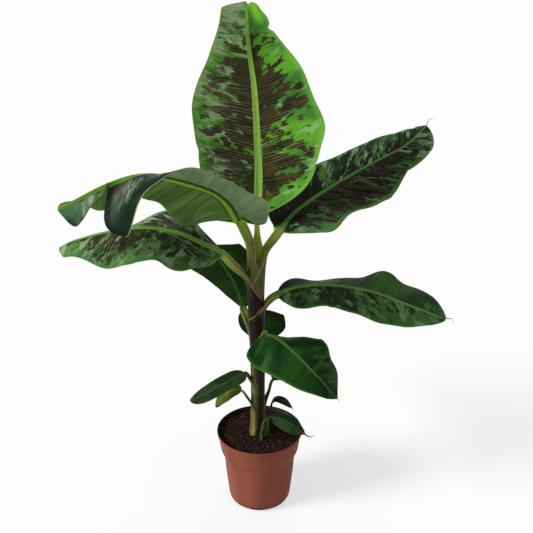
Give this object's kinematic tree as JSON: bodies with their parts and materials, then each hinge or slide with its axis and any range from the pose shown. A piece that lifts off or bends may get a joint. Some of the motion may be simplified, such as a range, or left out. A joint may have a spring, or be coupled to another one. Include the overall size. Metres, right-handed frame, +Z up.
{
  "type": "potted banana plant",
  "caption": "Young banana plant in a tapered round pot: upright sheathed stem, broad arching leaf blades on long channelled stalks, small side shoots and a bed of dark soil.",
  "frame": {"origin": "middle of the pot's flat underside, at the level it stands on", "axes": "+Z up along the stem, -Y towards the side the plant is looked at from, +X towards that side's right"},
  "size_m": [0.735, 0.5509, 1.0725],
  "materials": {
    "pot": "satin",
    "soil": "matte",
    "stem": "satin",
    "stalk": "satin",
    "green_blade": "satin",
    "dark_blade": "satin",
    "yellow_blade": "satin"
  },
  "bodies": {
    "root": {"pot": "pot", "soil": "soil", "stem": "stem", "top_leaf_stalk": "stalk", "top_leaf_blade": "green_blade", "upper_right_leaf_stalk": "stalk", "upper_right_leaf_blade": "dark_blade", "arching_leaf_stalk": "stalk", "arching_leaf_rising_blade": "dark_blade", "arching_leaf_hanging_blade": "dark_blade", "arching_leaf_tip_blade": "dark_blade", "left_leaf_stalk": "stalk", "left_leaf_blade": "green_blade", "right_leaf_stalk": "stalk", "right_leaf_blade": "green_blade", "back_left_leaf_stalk": "stalk", "back_left_leaf_blade": "dark_blade", "back_leaf_stalk": "stalk", "back_leaf_blade": "dark_blade", "front_leaf_stalk": "stalk", "front_leaf_blade": "green_blade", "low_left_leaf_stalk": "stalk", "low_left_leaf_blade": "dark_blade", "yellow_leaf_stalk": "stalk", "yellow_leaf_blade": "yellow_blade", "low_back_leaf_stalk": "stalk", "low_back_leaf_blade": "green_blade", "sucker_upper_leaf_stalk": "stalk", "sucker_upper_leaf_blade": "green_blade", "sucker_front_leaf_stalk": "stalk", "sucker_front_leaf_blade": "green_blade", "sucker_low_leaf_stalk": "stalk", "sucker_low_leaf_blade": "green_blade"}
  },
  "joints": []
}
